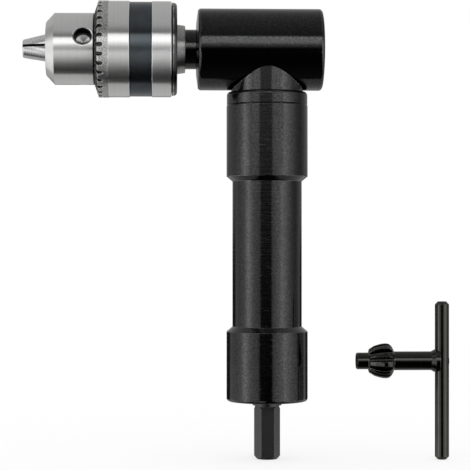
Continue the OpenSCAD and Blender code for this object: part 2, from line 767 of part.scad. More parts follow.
module jaw_hole(k) {
    far = jaw_travel - jaw_rear + face_gap;
    on_jaw(k) translate([0, 0, -jaw_reach * 2])
        cylinder(r = jaw_r + running_gap, h = far + jaw_reach * 2);
}
module key_hole(k) {
    hole_r = key_hole_d / 2;
    bevel_r = front_d / 2 - key_hole_bevel * 2;
    rotate([0, 0, jaw_direction(k) + 180 / jaw_count]) translate([0, 0, key_hole_place])
        rotate([0, 90, 0]) turned([[0, key_seat_r - hole_r * drill_point_share],
            [hole_r, key_seat_r], [hole_r, bevel_r],
            [hole_r + front_d / 2 + over - bevel_r, front_d / 2 + over], [0, front_d / 2 + over]]);
}
module chuck_body() {
    seat_front = nut_top + face_gap;
    seat_back = nut_bottom - face_gap;
    body_r = sleeve_bore_d / 2 - running_gap * 2;
    flange_edge = flange_width * flange_edge_share;
    steel() in_chuck() difference() {
        turned(concat(
            [[0, -hub_length], [hub_d / 2 - edge_break * 2, -hub_length],
             [hub_d / 2 - edge_break, edge_break - hub_length], [hub_d / 2, 0]],
            arc([flange_d / 2 - flange_edge, flange_edge], flange_edge, -90, 0),
            [[flange_d / 2, flange_width], [body_r, flange_width], [body_r, seat_back],
             [jaw_back_r(seat_back) - nut_gap / 2, seat_back],
             [jaw_back_r(seat_front) - nut_gap / 2, seat_front], [front_d / 2, seat_front],
             [front_d / 2, chuck_length - front_bevel - face_rim_length],
             [face_d / 2 + face_rim, chuck_length - face_rim_length], [face_d / 2, chuck_length],
             [0, chuck_length]]));
        translate([0, 0, -hub_length - over])
            cylinder(d = chuck_thread_d, h = hub_length + thread_end + over);
        cylinder(d = chuck_screw_d, h = bore_floor + over);
        translate([0, 0, bore_floor]) cylinder(d = drill_bore_d, h = chuck_length);
        for (k = [1:jaw_count]) {
            jaw_hole(k);
            key_hole(k);
        }
    }
}

// One space between the sleeve's teeth: its round floor climbs from the rim to the lip
module sleeve_space() {
    rim_r = tooth_ring_d / 2;
    pitch = PI * tooth_ring_d / sleeve_teeth;
    run = rim_r - lip_r;
    slope = atan((tooth_depth - edge_break) / run);
    translate([rim_r, 0, sleeve_reach - tooth_depth]) rotate([0, slope, 0]) rotate([90, 0, -90])
        translate([0, 0, -over * 4]) linear_extrude(height = run / cos(slope) + over * 5)
            polygon(space_outline(pitch, sleeve_space_shares, tooth_depth));
}

module chuck_sleeve() {
    steel() in_chuck() difference() {
        turned([[sleeve_bore_d / 2, sleeve_back], [rear_band_d / 2 - edge_break, sleeve_back],
            [rear_band_d / 2, sleeve_back + edge_break], [rear_band_d / 2, rear_band_top - face_gap],
            [dark_band_d / 2, rear_band_top], [dark_band_d / 2, dark_band_top],
            [front_band_d / 2, dark_band_top + face_gap], [front_band_d / 2, front_band_top],
            [tooth_ring_d / 2, front_band_top], [tooth_ring_d / 2, tooth_ring_top],
            [lip_r + running_gap, sleeve_reach], [lip_r, sleeve_reach], [lip_r, nut_top],
            [nut_d / 2, nut_top], [nut_d / 2, nut_bottom + running_gap],
            [sleeve_bore_d / 2, nut_bottom + running_gap]]);
        for (i = [0:sleeve_teeth - 1]) rotate([0, 0, 360 / sleeve_teeth * i]) sleeve_space();
    }
}

module nut_half(turn) {
    steel() in_chuck() rotate([0, 0, turn]) rotate_extrude(angle = 180)
        polygon([[jaw_back_r(nut_bottom) + nut_gap, nut_bottom], [nut_d / 2, nut_bottom],
            [nut_d / 2, nut_top], [jaw_back_r(nut_top) + nut_gap, nut_top]]);
}
module nut_half_upper() { nut_half(-90); }
module nut_half_lower() { nut_half(90); }

module jaw(k) {
    // Far corner of the wedge and of the turned outline that the jaw is cut to
    far = jaw_d * jaw_count;
    far_y = far * tan(180 / jaw_count) - jaw_gap;
    grip_y = grip_r * tan(180 / jaw_count) - jaw_gap;
    tip_r = jaw_nose_r - jaw_reach * jaw_slope;
    steel() in_chuck() intersection() {
        on_jaw(k) translate([0, 0, -jaw_reach]) {
            cylinder(r = jaw_r, h = jaw_reach - jaw_rear - jaw_end_bevel);
            translate([0, 0, jaw_reach - jaw_rear - jaw_end_bevel])
                cylinder(r1 = jaw_r, r2 = jaw_r - jaw_end_bevel, h = jaw_end_bevel);
        }
        rotate([0, 0, jaw_direction(k)]) linear_extrude(height = jaw_tip)
            polygon([[grip_r, grip_y], [far, far_y], [far, -far_y], [grip_r, -grip_y]]);
        turned([[0, 0], [far, 0], [far, jaw_tip - far], [tip_r, jaw_tip - jaw_tip_bevel],
            [tip_r - jaw_tip_bevel, jaw_tip], [0, jaw_tip]]);
    }
}
module jaw_1() { jaw(1); }
module jaw_2() { jaw(2); }
module jaw_3() { jaw(3); }

module chuck_screw() {
    dark_steel() in_chuck() difference() {
        union() {
            translate([0, 0, edge_break]) cylinder(d = chuck_screw_d, h = bore_floor);
            translate([0, 0, bore_floor]) cylinder(d = screw_head_d, h = screw_head_length);
        }
        translate([0, 0, bore_floor + screw_head_length * (1 - screw_socket_shares[0])])
            cylinder(d = screw_head_d * screw_socket_shares[1], h = screw_head_length, $fn = 6);
    }
}

// The key points to -X: child shapes are drawn with +Z from the tip of its pilot to its bar
module in_key() { translate([key_tip, -key_forward, stem_height]) rotate([0, 90, 0]) children(); }
// One space between the key's teeth, whose floor climbs towards the stem
module key_space() {
    big_r = key_pinion_d / 2;
    pitch = PI * key_pinion_d / key_teeth;
    slope = atan((key_root_shares[1] - key_root_shares[0]) * big_r / key_pinion_length);
    depth = big_r * (1 - key_root_shares[0]);
    translate([key_root_shares[0] * big_r, 0, pilot_length]) rotate([0, slope, 0])
        translate([0, 0, -over * 2])
            linear_extrude(height = key_pinion_length / cos(slope) + over * 4)
                rotate([0, 0, -90]) polygon(space_outline(pitch, key_space_shares, depth));
}
module chuck_key() {
    big_r = key_pinion_d / 2;
    pinion_end = pilot_length + key_pinion_length;
    bar_face = pinion_end + stem_length;
    dark_steel() in_key() difference() {
        union() {
            difference() {
                turned(concat(
                    [[0, pilot_length - over], [pilot_d / 2 - edge_break, pilot_length - over]],
                    [for (share = key_pinion_shares)
                        [share[1] * big_r, pilot_length + share[0] * key_pinion_length]],
                    [[stem_d / 2, pinion_end], [0, pinion_end]]));
                for (i = [0:key_teeth - 1]) rotate([0, 0, 360 / key_teeth * i]) key_space();
            }
            turned([[0, 0], [pilot_d / 2 - edge_break, 0], [pilot_d / 2, edge_break],
                [pilot_d / 2, pinion_end], [stem_d / 2, pinion_end],
                [stem_d / 2, bar_face - foot_length], [stem_foot_d / 2, bar_face],
                [stem_foot_d / 2, bar_face + foot_seat], [0, bar_face + foot_seat]]);
            cylinder(d = tenon_d, h = bar_face + bar_d - rivet_recess);
        }
        // The stem's foot is hollowed to the bar, and only the tenon goes through it
        translate([0, 0, bar_face + bar_d / 2]) difference() {
            rotate([0, 90, 0]) cylinder(d = bar_d, h = bar_length, center = true);
            cylinder(d = tenon_d, h = (bar_d + over) * 2, center = true);
        }
    }
}
module key_bar() {
    bar_r = bar_d / 2;
    dark_steel() translate([key_place, -key_forward, 0]) difference() {
        turned([[0, 0], [bar_r - bar_bevel, 0], [bar_r, bar_bevel],
            [bar_r, bar_length - bar_bevel], [bar_r - bar_bevel, bar_length], [0, bar_length]]);
        translate([0, 0, stem_height]) rotate([0, 90, 0])
            cylinder(d = tenon_d, h = (bar_d + over) * 2, center = true);
    }
}

head_housing();
head_end_cap();
lock_ring();
handle();
front_bearing_outer_race();
front_bearing_inner_race();
front_bearing_balls();
rear_bearing_outer_race();
rear_bearing_inner_race();
rear_bearing_balls();
neck_bearing_outer_race();
neck_bearing_inner_race();
neck_bearing_balls();
lower_bearing_outer_race();
lower_bearing_inner_race();
lower_bearing_balls();
front_bearing_circlip();
neck_bearing_circlip();
lower_bearing_circlip();
shank_seal();
output_spindle();
spindle_spacer();
bevel_gear();
gear_pin();
spindle_circlips();
bevel_pinion();
pinion_circlip();
drive_shaft();
coupling_pin();
shaft_circlip();
chuck_body();
chuck_sleeve();
nut_half_upper();
nut_half_lower();
jaw_1();
jaw_2();
jaw_3();
chuck_screw();
chuck_key();
key_bar();
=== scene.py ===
"""Looks of a right angle drill attachment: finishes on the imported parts, studio, floor, camera.

Lengths are in metres in the row's frame: +Z up the handle, the chuck towards -X, the camera at
-Y. No piece is added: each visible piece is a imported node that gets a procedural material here.
"""

import json
import math

import bpy
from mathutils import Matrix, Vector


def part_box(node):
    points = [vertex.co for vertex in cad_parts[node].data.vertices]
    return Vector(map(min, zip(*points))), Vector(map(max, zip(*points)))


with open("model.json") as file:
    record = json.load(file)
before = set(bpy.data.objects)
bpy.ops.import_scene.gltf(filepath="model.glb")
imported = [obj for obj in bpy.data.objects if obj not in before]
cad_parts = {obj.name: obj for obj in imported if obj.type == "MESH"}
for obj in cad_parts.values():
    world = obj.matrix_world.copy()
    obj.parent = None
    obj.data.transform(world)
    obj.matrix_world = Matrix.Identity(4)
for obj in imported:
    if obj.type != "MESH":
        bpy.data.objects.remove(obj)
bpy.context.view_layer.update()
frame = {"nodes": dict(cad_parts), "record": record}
MM = 0.001


def mm(*lengths):
    return tuple(length * MM for length in lengths)


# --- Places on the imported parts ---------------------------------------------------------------

SLEEVE_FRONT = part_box("chuck_sleeve")[0].x
SLEEVE_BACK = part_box("chuck_sleeve")[1].x
AXIS_HEIGHT = (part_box("chuck_sleeve")[0].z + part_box("chuck_sleeve")[1].z) / 2
HEAD_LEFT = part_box("head_housing")[0].x
LOCK_RING_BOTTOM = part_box("lock_ring")[0].z
LOCK_RING_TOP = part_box("lock_ring")[1].z

# Ends of the sleeve's bands and of the rim behind it, along the chuck's axis
CONE_LENGTH = 1.4 * MM
CONE_DROP = 3.3 * MM
TOOTH_CONE = SLEEVE_FRONT + CONE_LENGTH
TOOTH_RING = SLEEVE_FRONT + 5.0 * MM
TOOTH_RING_RADIUS = 17.1 * MM
FRONT_BAND = TOOTH_RING + 7.35 * MM
DARK_BAND = FRONT_BAND + 7.8 * MM
FLANGE_BACK = SLEEVE_BACK + 1.95 * MM

# The key holes' place along the chuck's axis, and the turn from level, in degrees, of the hole
# and of the gap between two jaws that face the camera
KEY_HOLES = FLANGE_BACK - 32.9 * MM
HOLE_TURN = 16.0
HOLE_RADIUS = 3.6 * MM
# Soft limits, each from 0 to 1 of a mask. From the chuck's axis: the floor of a key hole, its
# mouth and the nose's skin. From the hole's own axis: the floor's edge, where the wall's painted
# shade begins, and the rim's fall and the edge of its painted highlight
HOLE_FLOOR = mm(7.3, 7.7)
HOLE_MOUTH = mm(12.25, 12.4)
NOSE_SKIN = mm(11.8, 12.0)
FLOOR_EDGE = mm(2.35, 2.6)
RIM_FALL = mm(3.1, 3.65)
RIM_EDGE = mm(3.5, 3.7)
RIM_REACH = 4.0 * MM
# Depth under the ring's skin over which painted shade turns the space between two teeth black
SPACE_DEPTH = mm(0.08, 0.36)


# --- Node trees -------------------------------------------------------------------------------

def grey(level):
    return (level, level, level, 1)


class Shader:
    """A node tree that is being wired: each call adds nodes and returns an output socket."""

    def __init__(self, tree):
        self.tree = tree
        tree.nodes.clear()

    def feed(self, socket, value):
        """Links a socket, or sets a plain value."""
        if isinstance(value, bpy.types.NodeSocket):
            self.tree.links.new(value, socket)
        else:
            socket.default_value = value

    def node(self, kind, inputs=None, **settings):
        """A new node with its settings, and its inputs fed by number or name."""
        node = self.tree.nodes.new(kind)
        for key, value in settings.items():
            setattr(node, key, value)
        for slot, value in (inputs or {}).items():
            self.feed(node.inputs[slot], value)
        return node

    def math(self, operation, *values):
        return self.node("ShaderNodeMath", dict(enumerate(values)), operation=operation).outputs[0]

    def product(self, first, *others):
        for other in others:
            first = self.math("MULTIPLY", first, other)
        return first

    def opposite(self, mask):
        """1 where the mask is 0, and 0 where it is 1."""
        return self.math("SUBTRACT", 1.0, mask)

    def total(self, start, *terms):
        """start plus each value times its weight."""
        for value, weight in terms:
            start = self.math("ADD", start, self.math("MULTIPLY", value, weight))
        return start

    def share(self, part, whole):
        """part over whole, held between 0 and 1."""
        return self.node("ShaderNodeMath", {0: part, 1: whole},
                         operation="DIVIDE", use_clamp=True).outputs[0]

    def distance(self, a, b):
        """Length of a line that goes a one way and b across it."""
        squares = self.math("ADD", self.math("POWER", a, 2.0), self.math("POWER", b, 2.0))
        return self.math("SQRT", squares)

    def step(self, value, low, high):
        """0 below low, 1 above high, smooth between."""
        return self.node("ShaderNodeMapRange", {0: value, 1: low, 2: high, 3: 0.0, 4: 1.0},
                         interpolation_type="SMOOTHSTEP").outputs[0]

    def between(self, value, low, high, soft):
        """1 from low to high, 0 outside, with soft edges."""
        rise = self.step(value, low - soft, low + soft)
        fall = self.step(value, high - soft, high + soft)
        return self.math("MULTIPLY", rise, self.opposite(fall))

    def ramp(self, value, stops):
        """Straight pieces through (place, height) stops, for heights from 0 up."""
        low, high = stops[0][0], stops[-1][0]
        at = self.math("DIVIDE", self.math("SUBTRACT", value, low), high - low)
        node = self.node("ShaderNodeValToRGB", {0: at})
        places = node.color_ramp.elements
        while len(places) < len(stops):
            places.new(0.5)
        for element, (place, height) in zip(places, stops):
            element.position = (place - low) / (high - low)
            element.color = grey(height)
        return node.outputs[0]

    def curve(self, value, stops):
        """Like ramp, for heights that may be negative."""
        total = stops[0][1]
        for (low, start), (high, end) in zip(stops, stops[1:]):
            share = self.share(self.math("SUBTRACT", value, low), high - low)
            total = self.total(total, (share, end - start))
        return total

    def mix(self, share, a, b):
        """Colour between a and b."""
        return self.node("ShaderNodeMix", {0: share, 6: a, 7: b}, data_type="RGBA").outputs[2]

    def blend(self, share, a, b):
        """Number between a and b."""
        return self.node("ShaderNodeMix", {0: share, 2: a, 3: b}).outputs[0]

    def switch(self, value, edge, below, above):
        """One number below an edge and another above it, smooth across the edge's two ends."""
        return self.blend(self.step(value, *edge), below, above)

    def paint(self, tint, *coats):
        """tint with (mask, colour) coats laid over it one after the other."""
        for mask, colour in coats:
            tint = self.mix(mask, tint, colour)
        return tint

    def split(self, vector):
        return tuple(self.node("ShaderNodeSeparateXYZ", {0: vector}).outputs)

    def place(self):
        """Coordinates in the row's frame at rest, as a vector and as x, y and z."""
        at = self.node("ShaderNodeTexCoord").outputs["Object"]
        return (at,) + self.split(at)

    def noise(self, at, scale, detail, roughness=0.55):
        return self.node("ShaderNodeTexNoise", {"Vector": at, "Scale": scale, "Detail": detail,
                                                "Roughness": roughness}).outputs["Fac"]

    def lines(self, along, pitch, detail):
        """Turning lines: noise that changes along one coordinate alone."""
        return self.node("ShaderNodeTexNoise", {"W": along, "Scale": 1.0 / pitch,
                                                "Detail": detail},
                         noise_dimensions="1D").outputs["Fac"]

    def stretched(self, places, scales):
        """Coordinates scaled apart, for grain that runs one way."""
        scaled = [self.math("MULTIPLY", value, scale) for value, scale in zip(places, scales)]
        return self.node("ShaderNodeCombineXYZ", dict(enumerate(scaled))).outputs[0]

    def rounded(self, radius):
        """Normal with every edge broken by a small radius, which catches the light."""
        return self.node("ShaderNodeBevel", {"Radius": radius}, samples=4).outputs[0]

    def worn_edges(self, soft, low=0.01, high=0.16):
        """Mask that is 1 on edges: where the rounded normal leaves the true one."""
        true = self.node("ShaderNodeNewGeometry").outputs["Normal"]
        along = self.node("ShaderNodeVectorMath", {0: soft, 1: true}, operation="DOT_PRODUCT")
        return self.step(self.opposite(along.outputs["Value"]), low, high)

    def bump(self, height, depth, normal=None):
        node = self.node("ShaderNodeBump", {"Height": height, "Distance": depth, "Strength": 1.0})
        if normal is not None:
            self.feed(node.inputs["Normal"], normal)
        return node.outputs[0]

    def tangent(self, axis):
        """Direction round a turned piece, along its tool marks."""
        return self.node("ShaderNodeTangent", direction_type="RADIAL", axis=axis).outputs[0]

    def surface(self, **inputs):
        named = {name.replace("_", " "): value for name, value in inputs.items()}
        shader = self.node("ShaderNodeBsdfPrincipled", named)
        self.node("ShaderNodeOutputMaterial", {0: shader.outputs[0]})


def new_material(name):
    material = bpy.data.materials.new(name)
    material.use_nodes = True
    return material, Shader(material.node_tree)


def axis_distance(s, y, z):
    """Distance from the chuck's axis."""
    return s.distance(y, s.math("SUBTRACT", z, AXIS_HEIGHT))


def off_third(s, y, z):
    """Distance across from the nearest of three places a third of a turn apart on the chuck,
    one of them at HOLE_TURN."""
    third = math.radians(120.0)
    turn = s.math("ARCTAN2", s.math("SUBTRACT", z, AXIS_HEIGHT), s.math("MULTIPLY", y, -1.0))
    turn = s.math("SUBTRACT", turn, math.radians(HOLE_TURN) - third / 2)
    turn = s.math("SUBTRACT", s.math("FLOORED_MODULO", turn, third), third / 2)
    return s.math("MULTIPLY", axis_distance(s, y, z), s.math("SINE", turn))


# --- Materials --------------------------------------------------------------------------------

# Turns the anisotropic highlight to run across the tool marks
ACROSS = 0.25

# How the tool marks show on the head, turned about X, and on the handle, turned about Z: the
# stretch of the broken marks along x, y and z, the strength of the light flecks, and the heights
# of the fine marks, the broken marks and the wide ridges
TURNED = {
    "X": {"stretch": (2.6, 0.5, 0.5), "flecks": 0.34, "marks": 0.6, "broken": 0.8, "ridges": 0.0},
    "Z": {"stretch": (0.5, 0.5, 2.6), "flecks": 0.22, "marks": 1.6, "broken": 1.3, "ridges": 1.6},
}
JOINT_HALF = 0.2 * MM
JOINT_SOFT = 0.04 * MM


def black_oxide(name, axis, joints, anisotropic):
    """Black oxide on turned steel: marks round one axis, smudges, flecks, rubbed edges, joints."""
    material, s = new_material(name)
    at, x, y, z = s.place()
    along = x if axis == "X" else z
    look = TURNED[axis]
    marks = s.lines(along, pitch=0.42 * MM, detail=4.0)
    ridges = s.lines(along, pitch=1.1 * MM, detail=1.0)
    # Marks that come and go round the piece
    broken = s.noise(s.stretched((x, y, z), look["stretch"]), scale=900.0, detail=2.0)
    smudges = s.noise(at, scale=130.0, detail=4.0, roughness=0.62)
    grain = s.noise(at, scale=2300.0, detail=3.0, roughness=0.7)
    edges = s.rounded(0.2 * MM)
    rubbed = s.worn_edges(edges, low=0.004, high=0.07)
    tint = s.paint(
        s.mix(smudges, (0.04, 0.041, 0.042, 1), (0.06, 0.06, 0.061, 1)),
        (s.step(broken, 0.56, 0.8), (0.085, 0.085, 0.086, 1)),
        (s.math("MULTIPLY", s.step(marks, 0.3, 0.7), 0.12), grey(0.02)),
    )
    pits = s.mix(0.4, tint, grey(0.015))
    flecks = s.mix(look["flecks"], tint, grey(0.16))
    tint = s.paint(
        s.mix(s.step(grain, 0.38, 0.66), pits, flecks),
        (s.product(rubbed, s.step(grain, 0.3, 0.62)), grey(0.36)),
        *((s.between(along, joint - JOINT_HALF, joint + JOINT_HALF, JOINT_SOFT), grey(0.003))
          for joint in joints),
    )
    height = s.total(0.0, (marks, look["marks"]), (grain, 0.35),
                     (s.step(broken, 0.6, 0.76), look["broken"]), (ridges, look["ridges"]))
    s.surface(Base_Color=tint, Metallic=1.0,
              Roughness=s.total(0.055, (smudges, 0.05), (marks, 0.03)),
              Anisotropic=anisotropic, Anisotropic_Rotation=ACROSS, Tangent=s.tangent(axis),
              Normal=s.bump(height, 0.006 * MM, edges))
    return material


def glossy_black(name):
    """Glossy black oxide of the key: smooth, a little uneven, rubbed on the teeth."""
    material, s = new_material(name)
    at = s.place()[0]
    blotches = s.noise(at, scale=320.0, detail=3.0)
    grain = s.noise(at, scale=3200.0, detail=2.0)
    edges = s.rounded(0.2 * MM)
    rubbed = s.worn_edges(edges, low=0.006, high=0.09)
    tint = s.paint(
        s.mix(blotches, (0.048, 0.049, 0.044, 1), (0.074, 0.075, 0.068, 1)),
        (s.product(rubbed, s.step(grain, 0.3, 0.6)), (0.3, 0.3, 0.29, 1)),
    )
    s.surface(Base_Color=tint, Metallic=1.0, Roughness=s.total(0.08, (blotches, 0.1)),
              Normal=s.bump(grain, 0.003 * MM, edges))
    return material


# Softness of the borders between the chuck's finishes
BORDER = 0.05 * MM
# Painted highlights on the corners at both edges of each polished band
CORNER_HIGHLIGHTS = (TOOTH_RING, FRONT_BAND - 0.22 * MM, DARK_BAND + 0.22 * MM, SLEEVE_BACK - 0.3 * MM)
CORNER_HIGHLIGHT_HALF = 0.1 * MM
# Darker lines along both edges of the dark band
BAND_LINES = (FRONT_BAND + 0.15 * MM, DARK_BAND - 0.15 * MM)
BAND_LINE_HALF = 0.15 * MM


def chuck_steel():
    """Turned chuck: satin steel, grainy toothing, blue-black band, dark rear rim, rough hub.
    Painted highlights on corners and rims, painted shade between the teeth and in the key holes.
    """
    material, s = new_material("chuck_steel")
    at, x, y, z = s.place()
    reach = axis_distance(s, y, z)
    marks = s.lines(x, pitch=0.1 * MM, detail=3.0)
    wide_marks = s.lines(x, pitch=0.8 * MM, detail=2.0)
    grain = s.noise(at, scale=3400.0, detail=3.0, roughness=0.65)
    speckle = s.step(grain, 0.36, 0.68)
    patches = s.noise(at, scale=240.0, detail=4.0, roughness=0.6)
    edges = s.rounded(0.32 * MM)

    def zone(low, high):
        """Mask from one place on the chuck's axis to another."""
        return s.between(x, low, high, BORDER)

    ring = zone(SLEEVE_FRONT, TOOTH_RING)
    hub = s.step(x, FLANGE_BACK - BORDER, FLANGE_BACK + BORDER)

    # The spaces between the teeth lie deeper than the ring's skin, which drops along its cone
    cone = s.share(s.math("SUBTRACT", TOOTH_CONE, x), CONE_LENGTH)
    skin = s.math("SUBTRACT", TOOTH_RING_RADIUS, s.math("MULTIPLY", cone, CONE_DROP))
    # Mask of the painted shade in the spaces between the teeth
    space_shade = s.step(s.math("SUBTRACT", skin, reach), *SPACE_DEPTH)
    rims = s.worn_edges(edges, low=0.006, high=0.07)
    # Mask of the painted highlights on the tooth rims
    tooth_rim_highlight = s.product(ring, rims, s.opposite(s.math("MULTIPLY", space_shade, 0.7)))

    rubbed_line = zone(SLEEVE_BACK + 0.55 * MM, SLEEVE_BACK + 0.85 * MM)

    # Inside a key hole: painted shade on the wall, and the floor painted lighter than the bare
    # steel
    hole = s.product(zone(KEY_HOLES - HOLE_RADIUS, KEY_HOLES + HOLE_RADIUS),
                     s.opposite(s.step(reach, *HOLE_MOUTH)))
    off = s.distance(off_third(s, y, z), s.math("SUBTRACT", x, KEY_HOLES))
    hole_wall_shade = s.math("MAXIMUM", s.step(reach, *HOLE_FLOOR), s.step(off, *FLOOR_EDGE))
    outside = s.product(s.step(reach, *NOSE_SKIN),
                        zone(KEY_HOLES - RIM_REACH, KEY_HOLES + RIM_REACH))
    # Mask of the painted highlight round the rim of a key hole
    rim = s.product(outside, s.opposite(s.step(off, *RIM_EDGE)))

    tint = s.paint(
        # Bare satin steel
        s.mix(wide_marks, (0.78, 0.78, 0.77, 1), (0.88, 0.88, 0.87, 1)),
        (s.math("MULTIPLY", speckle, 0.35), grey(0.7)),
        # Painted highlights on the corners of the polished bands
        *((zone(place - CORNER_HIGHLIGHT_HALF, place + CORNER_HIGHLIGHT_HALF), (0.97, 0.98, 0.98, 1))
          for place in CORNER_HIGHLIGHTS),
        # Painted shade at the step from the toothing to the band
        (zone(TOOTH_RING - 0.2 * MM, TOOTH_RING - 0.02 * MM), grey(0.28)),
        # The toothing: painted shade between the teeth, painted highlights on their rims
        (ring, s.mix(speckle, (0.3, 0.3, 0.29, 1), (0.97, 0.97, 0.96, 1))),
        (s.product(ring, space_shade), grey(0.03)),
        (tooth_rim_highlight, (1.0, 1.0, 0.99, 1)),
        # The dark line in front of the toothing, in the shadow of the sleeve's tip
        (zone(SLEEVE_FRONT - 0.4 * MM, SLEEVE_FRONT + 0.2 * MM), grey(0.008)),
        (zone(FRONT_BAND, DARK_BAND),
         s.mix(patches, (0.058, 0.069, 0.077, 1), (0.118, 0.134, 0.146, 1))),
        *((zone(place - BAND_LINE_HALF, place + BAND_LINE_HALF), (0.015, 0.015, 0.016, 1))
          for place in BAND_LINES),
        # The dark rounded rim behind the sleeve, with one rubbed line
        (zone(SLEEVE_BACK - 0.12 * MM, FLANGE_BACK), s.mix(speckle, grey(0.05), grey(0.11))),
        (s.product(rubbed_line, s.step(patches, 0.3, 0.55)), grey(0.6)),
        (hub, s.mix(speckle, (0.4, 0.4, 0.39, 1), (0.78, 0.78, 0.77, 1))),
        # Painted shade on the key hole's wall, painted light on its floor
        (hole, s.mix(hole_wall_shade, (0.95, 0.95, 0.94, 1), grey(0.04))),
        # Painted highlight on the rim of each key hole
        (rim, grey(1.0)),
    )
    rough = s.total(0.27, (marks, 0.05))
    rough = s.blend(ring, rough, 0.45)
    rough = s.blend(hub, rough, 0.42)
    # The toothing and the hub are coarse, and the rim of a key hole falls inwards
    coarse = s.math("MAXIMUM", ring, s.math("MULTIPLY", hub, 0.8))
    fall = s.math("SUBTRACT", s.step(off, *RIM_FALL), 1.0)
    height = s.math("ADD", s.math("MULTIPLY", marks, 0.35),
                    s.math("MULTIPLY", grain, s.blend(coarse, 0.16, 4.0)))
    height = s.math("ADD", height, s.product(outside, s.math("MULTIPLY", fall, 40.0)))
    s.surface(Base_Color=tint, Metallic=1.0, Roughness=rough, Anisotropic=1.0,
              Anisotropic_Rotation=ACROSS, Tangent=s.tangent("X"),
              Normal=s.bump(height, 0.003 * MM, edges))
    return material


# Painted shadow along the gap between two jaws that faces the camera, across its middle
JAW_GAP_SHADOW = mm(-0.6, 0.36)
JAW_GAP_SHADOW_SOFT = 0.08 * MM


def ground_steel(name, dark, light, rough, axis, anisotropic=0.4, gap_shadow=False):
    """Plain machined steel with fine marks round one axis and slight patches. The last argument
    paints shadow into the gaps between the jaws."""
    material, s = new_material(name)
    at, x, y, z = s.place()
    marks = s.lines(x if axis == "X" else z, pitch=0.14 * MM, detail=3.0)
    patches = s.noise(at, scale=420.0, detail=4.0, roughness=0.6)
    grain = s.noise(at, scale=3600.0, detail=2.0)
    edges = s.rounded(0.15 * MM)
    brighter = tuple(min(1.0, channel + 0.14) for channel in light[:3]) + (1,)
    tint = s.mix(patches, dark, light)
    tint = s.mix(s.math("MULTIPLY", s.worn_edges(edges), 0.7), tint, brighter)
    if gap_shadow:
        # Painted shadow in the gaps between the jaws
        tint = s.mix(s.between(off_third(s, y, z), *JAW_GAP_SHADOW, JAW_GAP_SHADOW_SOFT), tint, grey(0.012))
    height = s.total(0.0, (marks, 0.6), (grain, 0.4))
    s.surface(Base_Color=tint, Metallic=1.0,
              Roughness=s.total(rough, (s.math("SUBTRACT", grain, 0.5), 0.12)),
              Anisotropic=anisotropic, Anisotropic_Rotation=ACROSS, Tangent=s.tangent(axis),
              Normal=s.bump(height, 0.003 * MM, edges))
    return material


def caged_balls():
    """Steel balls in a brass cage, whose thin band is what shows between the races."""
    material, s = new_material("caged_balls")
    grain = s.noise(s.place()[0], scale=2400.0, detail=2.0)
    s.surface(Base_Color=s.mix(grain, (0.62, 0.47, 0.22, 1), (0.72, 0.57, 0.3, 1)), Metallic=1.0,
              Roughness=s.total(0.22, (grain, 0.1)), Normal=s.bump(grain, 0.003 * MM))
    return material


def seal_rubber():
    """Matt black rubber."""
    material, s = new_material("seal_rubber")
    grain = s.noise(s.place()[0], scale=1800.0, detail=3.0)
    s.surface(Base_Color=s.mix(grain, (0.012, 0.012, 0.012, 1), (0.035, 0.035, 0.034, 1)),
              Roughness=s.total(0.5, (grain, 0.25)), Normal=s.bump(grain, 0.01 * MM))
    return material


OXIDE_HEAD = black_oxide("black_oxide_head", "X", joints=[HEAD_LEFT], anisotropic=0.3)
OXIDE_KEY = glossy_black("black_oxide_key")

# The finish of each material slot, and of the nodes that have one of their own
FINISHES = {
    "black_oxide": black_oxide("black_oxide_handle", "Z", joints=[LOCK_RING_BOTTOM, LOCK_RING_TOP],
                               anisotropic=0.85),
    "chuck_steel": chuck_steel(),
    "jaw_steel": ground_steel("jaw_steel", grey(0.66), grey(0.84), rough=0.28, axis="X",
                              anisotropic=0.95, gap_shadow=True),
    "shank_steel": ground_steel("shank_steel", (0.066, 0.066, 0.068, 1), grey(0.095),
                                rough=0.3, axis="Z"),
    "gear_steel": ground_steel("gear_steel", (0.42, 0.42, 0.43, 1), (0.52, 0.52, 0.53, 1),
                               rough=0.3, axis="X"),
    "bearing_steel": ground_steel("bearing_steel", (0.62, 0.62, 0.63, 1), (0.7, 0.7, 0.71, 1),
                                  rough=0.14, axis="X"),
    "cage_brass": caged_balls(),
    "spring_steel": ground_steel("spring_steel", (0.06, 0.06, 0.065, 1), (0.1, 0.1, 0.105, 1),
                                 rough=0.4, axis="Z"),
    "seal_rubber": seal_rubber(),
}
OWN_FINISHES = {
    "head_housing": OXIDE_HEAD,
    "head_end_cap": OXIDE_HEAD,
    "output_spindle": OXIDE_HEAD,
    "chuck_key": OXIDE_KEY,
    "key_bar": OXIDE_KEY,
}
for subpart in frame["record"]["subparts"]:
    node = frame["nodes"][subpart["node"]]
    finish = OWN_FINISHES.get(subpart["node"], FINISHES[subpart["material_slot"]])
    node.data.materials.clear()
    node.data.materials.append(finish)


# --- Studio -----------------------------------------------------------------------------------
# What the metal reflects, as (angle, brightness) stops. Angles are in degrees, seen from the
# object. swing goes round from the camera's side, positive to the right. lean goes from the
# camera's side up over the top, or down and under the object where it is negative. rise is up
# from level. aside is out of the plane in which lean turns, positive to the right.

# By swing, at the height of the handle
AROUND = [
    (-180, 0.03), (-171, 0.03), (-165, 0.4), (-155, 0.34), (-104, 0.6), (-85, 0.95), (-77, 1.5),
    (-69, 2.15), (-61, 1.7), (-54, 1.2), (-43, 0.7), (-33, 0.56), (-27, 0.42), (12, 0.42),
    (20, 0.66), (30, 0.96), (41, 1.4), (45, 1.8), (49, 1.8), (63, 1.25), (75, 0.84), (88, 0.46),
    (102, 0.28), (115, 0.33), (129, 0.36), (168, 0.5), (177, 0.4), (180, 0.05)]
